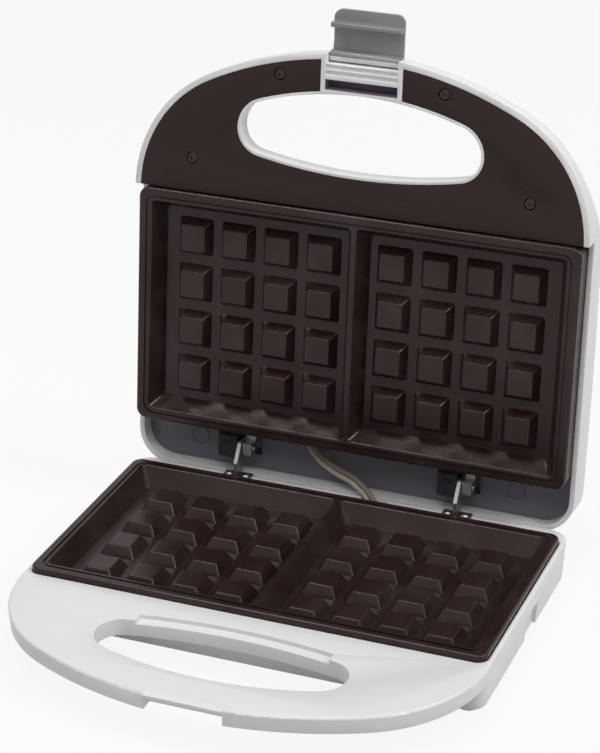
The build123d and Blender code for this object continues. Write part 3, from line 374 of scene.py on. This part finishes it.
def nothing_chosen():
    """Leaves edit mode and lets go of every piece."""
    if bpy.context.object and bpy.context.object.mode != "OBJECT":
        bpy.ops.object.mode_set(mode="OBJECT")
    bpy.ops.object.select_all(action="DESELECT")


def take(piece):
    """Makes one piece the only chosen and active one."""
    nothing_chosen()
    piece.select_set(True)
    bpy.context.view_layer.objects.active = piece


def choose_all(kind):
    """Enters edit mode and chooses the whole mesh."""
    bpy.ops.object.mode_set(mode="EDIT")
    bpy.ops.mesh.select_mode(type=kind)
    bpy.ops.mesh.select_all(action="SELECT")


def choose(kind, test):
    """Enters edit mode and chooses the faces or edges that pass a test."""
    bpy.ops.object.mode_set(mode="EDIT")
    bpy.ops.mesh.select_mode(type=kind)
    bpy.ops.mesh.select_all(action="DESELECT")
    mesh = bpy.context.edit_object.data
    form = bmesh.from_edit_mesh(mesh)
    for item in form.faces if kind == "FACE" else form.edges:
        if test(item):
            item.select_set(True)
    form.select_flush_mode()
    bmesh.update_edit_mesh(mesh)


def modified(piece, kind, **settings):
    """Adds a modifier and applies it at once."""
    take(piece)
    modifier = piece.modifiers.new(kind.lower(), kind)
    for key, value in settings.items():
        setattr(modifier, key, value)
    bpy.ops.object.modifier_apply(modifier=modifier.name)


def smooth(piece, degrees=34):
    """Shades a piece smooth, apart from edges sharper than the angle."""
    take(piece)
    bpy.ops.object.shade_smooth_by_angle(angle=radians(degrees))


def paint(piece, material):
    """Gives a piece one material in place of those it has."""
    piece.data.materials.clear()
    piece.data.materials.append(material)


def finish_node(name, material):
    """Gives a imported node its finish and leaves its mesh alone."""
    for entry in frame["nodes"][name].material_slots:
        entry.material = material


def on_body(piece, node, material):
    """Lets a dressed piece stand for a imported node."""
    paint(piece, material)
    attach(piece, BODY_OF[node])
    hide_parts(node)


def shut(place):
    """Where a point of the resting lid lies once the lid is shut."""
    return LID_TURN.inverted() @ place


# A plate seen flat, from its middle: half the straight runs of its rounded outline, and how far past them the fields'
# edge and the plate's own edge lie
RIM_SIDE, RIM_END = 99.5 * MM, 50.0 * MM
FIELD_EDGE, PLATE_EDGE = 2.7 * MM, 8.0 * MM
# Depths below the rim
PYRAMID_TOP, FIELD_DEEP = 4.8 * MM, 10.0 * MM
HEIGHT_SLACK, RIM_SLACK = 0.05 * MM, 0.02 * MM
# An edge is a crease, which is rounded, where its faces turn by more than this
CREASE = radians(20)
RIM_ROUNDING = 0.8

# A field's end wall leans by this share, faces along the plate's depth and isn't a sliver
WALL_LEAN = (0.36, 0.46)
WALL_FACING = 0.8
WALL_AREA = 4e-6
# Degrees by which its shading tilts at the rim, and how many more at the field's floor
TILT_AT_RIM, TILT_BELOW = 4, 8


def level_height(mesh, lid):
    """Heights of a plate's points with the lid shut, and the rim's height; the lid's plate faces down."""
    heights = [(shut(vertex.co) if lid else vertex.co).z for vertex in mesh.vertices]
    return heights, min(heights) if lid else max(heights)


def cast_plate(node, name, edge, material):
    """A copy of a plate whose pyramids and rims have the round edges of a coated casting."""
    lid = BODY_OF[node] == "lid"
    piece = merged_copy(node, name)
    low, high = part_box("lower_plate")
    middle = (low.y + high.y) / 2
    rim = level_height(piece.data, lid)[1]

    def seat(place):
        """Place along and across the plate from its middle, and the depth below its rim."""
        place = shut(place) if lid else place
        return Vector((place.x, place.y - middle, abs(place.z - rim)))

    def creased(line):
        return len(line.link_faces) == 2 and line.calc_face_angle(0) > CREASE

    def on_pyramid(line):
        ends = [seat(end.co) for end in line.verts]
        topped = any(abs(end.z - PYRAMID_TOP) < HEIGHT_SLACK for end in ends)
        return creased(line) and topped and max(end.z for end in ends) < FIELD_DEEP + HEIGHT_SLACK

    def on_rim(line):
        ends = [seat(end.co) for end in line.verts]
        if max(end.z for end in ends) > RIM_SLACK or not creased(line):
            return False
        place = (ends[0] + ends[1]) / 2
        past = Vector((max(abs(place.x) - RIM_SIDE, 0), max(abs(place.y) - RIM_END, 0))).length
        return past < FIELD_EDGE or past > PLATE_EDGE

    for test, width, steps in ((on_pyramid, edge, 4), (on_rim, edge * RIM_ROUNDING, 3)):
        choose("EDGE", test)
        bpy.ops.mesh.bevel(offset=width, offset_type="OFFSET", segments=steps, profile=0.5, clamp_overlap=False)
        bpy.ops.object.mode_set(mode="OBJECT")
    smooth(piece)
    modified(piece, "WEIGHTED_NORMAL", mode="FACE_AREA", weight=60, keep_sharp=True)
    on_body(piece, node, material)
    dished_walls(piece.data, lid)


def dished_walls(mesh, lid):
    """Shades the sloping end walls of a plate's fields as the concave sweep that a casting has there."""
    heights, rim = level_height(mesh, lid)
    outward = Vector((0, 0, -1 if lid else 1))
    turned = (LID_TURN if lid else Matrix.Identity(4)).to_quaternion()
    normals = [Vector(corner.vector) for corner in mesh.corner_normals]
    for face in mesh.polygons:
        facing = turned.inverted() @ face.normal
        leans = WALL_LEAN[0] < abs(facing.z) < WALL_LEAN[1] and abs(facing.y) > WALL_FACING
        if not leans or face.area < WALL_AREA:
            continue
        axis = facing.cross(outward).normalized()
        for index in face.loop_indices:
            depth = abs(heights[mesh.loops[index].vertex_index] - rim) / FIELD_DEEP
            tilt = radians(TILT_AT_RIM + TILT_BELOW * min(depth, 1))
            normals[index] = turned @ (Matrix.Rotation(tilt, 3, axis) @ facing)
    mesh.normals_split_custom_set(normals)


# Points nearer than this are one; faces that turn by less than this are one face
MERGE_REACH = 2e-6
FLAT_WITHIN = radians(0.6)


def merged_copy(node, name):
    """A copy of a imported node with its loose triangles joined."""
    source = frame["nodes"][node]
    take(source)
    bpy.ops.object.duplicate()
    piece = bpy.context.object
    piece.name = name
    piece.data.name = name
    for key in [key for key in piece.keys() if key.startswith("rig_")]:
        del piece[key]
    choose_all("VERT")
    bpy.ops.mesh.remove_doubles(threshold=MERGE_REACH)
    bpy.ops.object.mode_set(mode="OBJECT")
    if piece.data.has_custom_normals:
        bpy.ops.mesh.customdata_custom_splitnormals_clear()
    return piece


def softened(node, name, edge, material, degrees=30):
    """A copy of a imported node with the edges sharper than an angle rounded, as a moulding has them."""
    piece = merged_copy(node, name)
    choose_all("FACE")
    bpy.ops.mesh.dissolve_limited(angle_limit=FLAT_WITHIN)
    bpy.ops.object.mode_set(mode="OBJECT")
    modified(piece, "BEVEL", width=edge, segments=2, limit_method="ANGLE", angle_limit=radians(degrees),
             use_clamp_overlap=True, harden_normals=False, miter_outer="MITER_ARC")
    smooth(piece)
    on_body(piece, node, material)
    return piece


def inked(piece, material, test):
    """Gives the faces that pass a test a finish of their own."""
    piece.data.materials.append(material)
    take(piece)
    choose("FACE", test)
    piece.active_material_index = len(piece.data.materials) - 1
    bpy.ops.object.material_slot_assign()
    bpy.ops.object.mode_set(mode="OBJECT")


# Stage


CAMERA_PLACE = Vector((0.37105, -0.9302, 0.5948))
CAMERA_AZIMUTH = radians(21.36)
CAMERA_RISE = radians(25.31)
FLOOR_SIZE = 14
# Share of plain white that the camera sees in the floor; the rest is its lit surface, which keeps the shadow
FLOOR_WHITE = 0.9
# The surround's light climbs from the horizon's strength to the sky's up to this sine of the angle above it
SKY_RISE = 0.9
# Each lamp's place, the point it is aimed at, and its size
LAMPS = {
    "key": ((0.15, -0.6, 1.15), (0, 0.02, 0.1), (0.7, 0.7)),
    "fill": ((1.25, 0.05, 1.25), (0, 0.05, 0.1), (0.5, 0.5)),
    "top": ((-0.5, -0.1, 1.5), (0, 0.05, 0.1), (0.4, 0.35)),
}


def camera(settings):
    """Puts the camera where the photograph was taken from."""
    bpy.ops.object.camera_add(location=CAMERA_PLACE)
    made = bpy.context.object
    made.name = "camera"
    level = cos(CAMERA_RISE)
    back = Vector((sin(CAMERA_AZIMUTH) * level, -cos(CAMERA_AZIMUTH) * level, sin(CAMERA_RISE)))
    made.rotation_mode = "QUATERNION"
    made.rotation_quaternion = (-back).to_track_quat("-Z", "Y")
    made.data.sensor_width = 36
    made.data.lens = settings.lens
    made.data.clip_start, made.data.clip_end = 0.02, 60
    bpy.context.scene.camera = made


def seen_directly(tree):
    """1 for rays from the camera and for those in gloss and glass, 0 for light that falls on the object."""
    path = tree.nodes.new("ShaderNodeLightPath")
    value = path.outputs["Is Camera Ray"]
    for other in ("Is Glossy Ray", "Is Transmission Ray"):
        either = tree.nodes.new("ShaderNodeMath")
        either.operation = "MAXIMUM"
        tree.links.new(value, either.inputs[0])
        tree.links.new(path.outputs[other], either.inputs[1])
        value = either.outputs["Value"]
    return value


def floor(settings):
    """Pale floor, nearly white to the camera and in gloss, that keeps the object's shadow."""
    bpy.ops.mesh.primitive_plane_add(size=FLOOR_SIZE, location=(0, 0, 0))
    made = bpy.context.object
    made.name = "floor"
    finish = Finish("pale floor", settings.floor, 0.85, Specular_IOR_Level=0.1)
    finish.tint(finish.between(finish.cloud(3, 2), 0.4, 0.6), darker(settings.floor, 0.99))
    white = finish.node("ShaderNodeEmission")
    mix = finish.node("ShaderNodeMixShader")
    share = finish.node("ShaderNodeMath", operation="MULTIPLY")
    share.inputs[1].default_value = FLOOR_WHITE
    finish.join(seen_directly(finish.tree), share.inputs[0])
    finish.join(share.outputs["Value"], mix.inputs["Fac"])
    finish.join(finish.shader.outputs["BSDF"], mix.inputs[1])
    finish.join(white.outputs["Emission"], mix.inputs[2])
    finish.join(mix.outputs["Shader"], finish.tree.nodes["Material Output"].inputs["Surface"])
    paint(made, finish.material)


def lamp(name, place, aim, size, power):
    """One soft box."""
    bpy.ops.object.light_add(type="AREA", location=place)
    made = bpy.context.object
    made.name = name
    made.data.shape = "RECTANGLE"
    made.data.size, made.data.size_y = size
    made.data.energy = power
    made.rotation_mode = "QUATERNION"
    made.rotation_quaternion = (Vector(aim) - Vector(place)).to_track_quat("-Z", "Y")


def surround(settings):
    """Even soft light, seen as plain white by the camera and in gloss."""
    world = bpy.data.worlds.new("studio surround")
    bpy.context.scene.world = world
    world.use_nodes = True
    tree = world.node_tree
    light = tree.nodes["Background"]
    light.inputs["Color"].default_value = (1, 1, 1, 1)
    way = tree.nodes.new("ShaderNodeTexCoord")
    parts = tree.nodes.new("ShaderNodeSeparateXYZ")
    rise = tree.nodes.new("ShaderNodeMapRange")
    rise.inputs["From Max"].default_value = SKY_RISE
    rise.inputs["To Min"].default_value = settings.horizon
    rise.inputs["To Max"].default_value = settings.sky
    tree.links.new(way.outputs["Generated"], parts.inputs["Vector"])
    tree.links.new(parts.outputs["Z"], rise.inputs["Value"])
    tree.links.new(rise.outputs["Result"], light.inputs["Strength"])
    white = tree.nodes.new("ShaderNodeBackground")
    white.inputs["Strength"].default_value = 1.0
    mix = tree.nodes.new("ShaderNodeMixShader")
    tree.links.new(seen_directly(tree), mix.inputs["Fac"])
    tree.links.new(light.outputs["Background"], mix.inputs[1])
    tree.links.new(white.outputs["Background"], mix.inputs[2])
    tree.links.new(mix.outputs["Shader"], tree.nodes["World Output"].inputs["Surface"])


class WAFFLE_OT_stage(bpy.types.Operator):
    """Sets up the camera, the pale floor and soft studio light."""

    bl_idname = "waffle.stage"
    bl_label = "Stage"

    def execute(self, context):
        settings = context.scene.waffle_stage
        context.scene.view_settings.view_transform = "Standard"
        nothing_chosen()
        camera(settings)
        floor(settings)
        for name, (place, aim, size) in LAMPS.items():
            lamp(f"{name} lamp", place, aim, size, getattr(settings, name))
        surround(settings)
        nothing_chosen()
        return {"FINISHED"}


# Pieces


class WAFFLE_OT_cooking_plates(bpy.types.Operator):
    """Dresses both cast plates with rounded pyramid edges and a non-stick coating."""

    bl_idname = "waffle.cooking_plates"
    bl_label = "Cooking plates"

    def execute(self, context):
        sizes = context.scene.waffle_sizes
        coating = non_stick(context.scene.waffle_colours)
        cast_plate("lower_plate", "lower_waffle_plate", sizes.plate_edge, coating)
        cast_plate("upper_plate", "upper_waffle_plate", sizes.plate_edge, coating)
        return {"FINISHED"}


# Two corners of a box round the pocket behind the latch, with the lid shut; the handle slot's flare starts above it
POCKET_LOW = (-0.0178, -0.1052, 0.0288)
POCKET_HIGH = (0.0178, -0.0994, 0.038)


def in_pocket(place):
    """Whether a point of the shut lid lies on the floor or the walls of the pocket behind the latch."""
    return all(low < at < high for low, at, high in zip(POCKET_LOW, place, POCKET_HIGH))


class WAFFLE_OT_housings(bpy.types.Operator):
    """Gives the moulded base and lid their edges and their white satin finish, with painted shade in the pocket
    behind the latch and on the slate rear cover.
    """

    bl_idname = "waffle.housings"
    bl_label = "Housings"

    def execute(self, context):
        colours, sizes = context.scene.waffle_colours, context.scene.waffle_sizes
        white = moulded_white(colours)
        softened("base_shell", "base_housing", sizes.shell_edge, white)
        lid = softened("lid_shell", "lid_housing", sizes.shell_edge, white)
        # The lid's faces in the pocket behind the latch are painted darker, as painted shade in the recess
        painted_pocket_shade = matte_moulding("latch pocket shade", colours.pocket, 0.6)
        inked(lid, painted_pocket_shade, lambda face: in_pocket(shut(face.calc_center_median())))
        softened("lid_handle_cover", "handle_cover", sizes.cover_edge, grained_cover(colours))
        # The rear cover's slate colour is painted shade, put where the lid's white inside lies in shade
        finish_node("lid_rear_cover", slate_shade_sheet(colours))
        finish_node("base_bottom_cover", matte_moulding("black bottom cover", colours.underside))
        finish_node("base_feet", matte_moulding("rubber feet", colours.rubber, 0.8, 0.00005))
        return {"FINISHED"}


# The pale side of the latch's roll: within this radius of the pin, and no higher than this above it
ROLL_RADIUS = 2.9 * MM
ROLL_TOP = 0.4 * MM


def on_roll(place):
    """Whether a point of the resting latch lies on the pale lower side of the roll round its pin."""
    away = place - LATCH_POINT
    return hypot(away.y, away.z) < ROLL_RADIUS and away.z < ROLL_TOP


class WAFFLE_OT_latch(bpy.types.Operator):
    """Dresses the swinging latch lever and its pin."""

    bl_idname = "waffle.latch"
    bl_label = "Latch"

    def execute(self, context):
        colours, sizes = context.scene.waffle_colours, context.scene.waffle_sizes
        lever = softened("latch_lever", "latch", sizes.latch_edge, grey_latch(colours), 26)
        roll = matte_moulding("pale latch roll", colours.shell, 0.45, 0.00001)
        inked(lever, roll, lambda face: on_roll(face.calc_center_median()))
        finish_node("latch_pin", zinc_steel("bright pin steel", shade(190, 190, 190), 0.25))
        return {"FINISHED"}


class WAFFLE_OT_hinges(bpy.types.Operator):
    """Finishes the hinge ears, blocks, leaves and pins."""

    bl_idname = "waffle.hinges"
    bl_label = "Hinges"

    def execute(self, context):
        colours = context.scene.waffle_colours
        steel = zinc_steel("plated hinge steel", shade(172, 172, 172), 0.36, (1, 6, 1))
        for node in ("hinge_ears", "hinge_leaves", "hinge_pins"):
            finish_node(node, steel)
        finish_node("hinge_blocks", matte_moulding("black hinge block", colours.block, 0.5))
        return {"FINISHED"}


class WAFFLE_OT_screws(bpy.types.Operator):
    """Finishes the screws: blackened in the handle cover and hinge blocks, zinc elsewhere."""

    bl_idname = "waffle.screws"
    bl_label = "Screws"

    def execute(self, context):
        zinc = zinc_steel("zinc screws", shade(180, 180, 178), 0.3)
        black = zinc_steel("blackened screws", shade(70, 64, 62), 0.42)
        for node in ("lid_cover_screws", "hinge_block_screws"):
            finish_node(node, black)
        for node in ("base_cover_screws", "hinge_ear_screws", "lower_reflector_screws", "upper_reflector_screws"):
            finish_node(node, zinc)
        return {"FINISHED"}


class WAFFLE_OT_heating(bpy.types.Operator):
    """Finishes elements, clips, reflectors, fuse and thermostat inside the housings."""

    bl_idname = "waffle.heating"
    bl_label = "Heating"

    def execute(self, context):
        sheath = heated_steel("element sheath")
        clip = zinc_steel("spring clip steel", shade(150, 148, 142), 0.4)
        sheet = zinc_steel("rolled reflector sheet", shade(206, 206, 208), 0.28, (8, 1, 1))
        for side in ("lower", "upper"):
            finish_node(f"{side}_heater", sheath)
            finish_node(f"{side}_heater_clips", clip)
            finish_node(f"{side}_reflector", sheet)
        finish_node("thermal_fuse", zinc_steel("fuse body", shade(196, 196, 198), 0.3))
        finish_node("thermostat", zinc_steel("nickelled thermostat", shade(184, 184, 180), 0.3))
        finish_node("terminal_block", matte_moulding("terminal block", shade(226, 222, 208), 0.55))
        finish_node("neon_lamps", lamp_glass())
        return {"FINISHED"}


class WAFFLE_OT_outside_fittings(bpy.types.Operator):
    """Finishes the cord bush and the two lamp lenses on the lid."""

    bl_idname = "waffle.outside_fittings"
    bl_label = "Outside fittings"

    def execute(self, context):
        colours = context.scene.waffle_colours
        finish_node("cord_gland", matte_moulding("cord bush", shade(44, 44, 44), 0.62))
        finish_node("power_lamp_lens", tinted_lens("red lens", colours.power_lens))
        finish_node("ready_lamp_lens", tinted_lens("green lens", colours.ready_lens))
        return {"FINISHED"}


# Route, in millimetres, of the two sleeves' middle from behind the upper reflector to the terminal block; the way
# that the pair lies side by side at each point, in x and z; and how far each sleeve lies from that middle
SLEEVE_ROUTE = (
    (-27.0, 100.0, 60.0), (-25.5, 95.0, 46.5), (-20.0, 88.0, 38.5), (-8.0, 84.5, 32.5), (4.0, 82.0, 30.5),
    (16.5, 77.2, 21.0), (16.5, 77.2, 9.8), (-39.8, 77.2, 9.8),
)
SLEEVE_SIDE = ((1, 0), (1, 0.1), (0.7, 0.75), (0.35, 0.95), (0.42, 0.9), (1, 0.3), (1, -1), (0, -1))
SLEEVE_SPACING = 1.42


def sleeve_line(way):
    """Points along one sleeve's smooth line."""
    curve = bpy.data.curves.new("sleeve line", "CURVE")
    curve.dimensions = "3D"
    curve.resolution_u = 10
    spline = curve.splines.new("NURBS")
    spline.points.add(len(SLEEVE_ROUTE) - 1)
    for point, (x, y, z), (across, up) in zip(spline.points, SLEEVE_ROUTE, SLEEVE_SIDE):
        point.co = ((x + way * across) * MM, y * MM, (z + way * up) * MM, 1)
    spline.order_u = 3
    spline.use_endpoint_u = True
    carrier = bpy.data.objects.new("sleeve line", curve)
    bpy.context.collection.objects.link(carrier)
    bpy.context.view_layer.update()
    mesh = bpy.data.meshes.new_from_object(carrier)
    line = [vertex.co.copy() for vertex in mesh.vertices]
    bpy.data.objects.remove(carrier)
    bpy.data.meshes.remove(mesh)
    return line


TUBE_SIDES = 18
# A sleeve's girth wavers by this share either way, at this many radians a metre
WAVER, WAVER_RATE = 0.03, 900


def tube(name, line, radius):
    """Closed round tube along a line, with a map that runs round and along it."""
    form = bmesh.new()
    chart = form.loops.layers.uv.new("UVMap")
    sides = TUBE_SIDES
    side = (line[1] - line[0]).normalized().orthogonal().normalized()
    rings, runs, run = [], [], 0.0
    for index, place in enumerate(line):
        after, before = line[min(index + 1, len(line) - 1)], line[max(index - 1, 0)]
        turned = (after - before).normalized()
        side = (side - turned * side.dot(turned)).normalized()
        up = turned.cross(side)
        girth = radius * (1 - WAVER * (1 + sin(run * WAVER_RATE)))
        ring = [form.verts.new(place + girth * (side * cos(2 * pi * k / sides) + up * sin(2 * pi * k / sides)))
                for k in range(sides)]
        rings.append(ring)
        runs.append(run / (2 * pi * radius))
        run += (after - place).length
    for low, high, start, end in zip(rings, rings[1:], runs, runs[1:]):
        for k in range(sides):
            face = form.faces.new((low[k], low[(k + 1) % sides], high[(k + 1) % sides], high[k]))
            places = ((k, start), (k + 1, start), (k + 1, end), (k, end))
            for loop, (around, along) in zip(face.loops, places):
                loop[chart].uv = (around / sides, along)
    form.faces.new(list(reversed(rings[0])))
    form.faces.new(rings[-1])
    mesh = bpy.data.meshes.new(name)
    form.to_mesh(mesh)
    form.free()
    made = bpy.data.objects.new(name, mesh)
    bpy.context.collection.objects.link(made)
    return made


class WAFFLE_OT_lead_sleeves(bpy.types.Operator):
    """Makes the two braided lead sleeves where the lid turns."""

    bl_idname = "waffle.lead_sleeves"
    bl_label = "Lead sleeves"

    def execute(self, context):
        colours, sizes = context.scene.waffle_colours, context.scene.waffle_sizes
        pair = (("pale", -SLEEVE_SPACING, colours.pale_braid), ("brown", SLEEVE_SPACING, colours.brown_braid))
        for tag, way, colour in pair:
            piece = tube(f"{tag}_lead_sleeve", sleeve_line(way), sizes.sleeve / 2)
            paint(piece, braided_sleeve(f"{tag} braid", colour))
            smooth(piece, 50)
            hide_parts("lead_sleeves")
            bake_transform(piece)
        return {"FINISHED"}


OPERATORS = (
    WAFFLE_OT_stage, WAFFLE_OT_cooking_plates, WAFFLE_OT_housings, WAFFLE_OT_latch, WAFFLE_OT_hinges,
    WAFFLE_OT_screws, WAFFLE_OT_heating, WAFFLE_OT_outside_fittings, WAFFLE_OT_lead_sleeves,
)


class WAFFLE_PT_builder(bpy.types.Panel):
    """Lists the maker's pieces, colours and sizes."""

    bl_idname = "WAFFLE_PT_builder"
    bl_label = "Waffle Maker"
    bl_space_type = "VIEW_3D"
    bl_region_type = "UI"
    bl_category = "Waffle Maker"

    def draw(self, context):
        scene = context.scene
        for group in (scene.waffle_colours, scene.waffle_sizes, scene.waffle_stage):
            box = self.layout.box()
            for name in group.__annotations__:
                box.prop(group, name)
        for operator in OPERATORS:
            self.layout.operator(operator.bl_idname)


GROUPS = {"waffle_colours": WaffleColours, "waffle_sizes": WaffleSizes, "waffle_stage": WaffleStage}
CLASSES = (*GROUPS.values(), *OPERATORS, WAFFLE_PT_builder)


def register():
    for made in CLASSES:
        bpy.utils.register_class(made)
    for name, group in GROUPS.items():
        setattr(bpy.types.Scene, name, bpy.props.PointerProperty(type=group))


def unregister():
    for name in GROUPS:
        delattr(bpy.types.Scene, name)
    for made in reversed(CLASSES):
        bpy.utils.unregister_class(made)


def main():
    register()
    for operator in OPERATORS:
        group, name = operator.bl_idname.split(".")
        getattr(getattr(bpy.ops, group), name)()
    nothing_chosen()


if __name__ == "__main__":
    main()
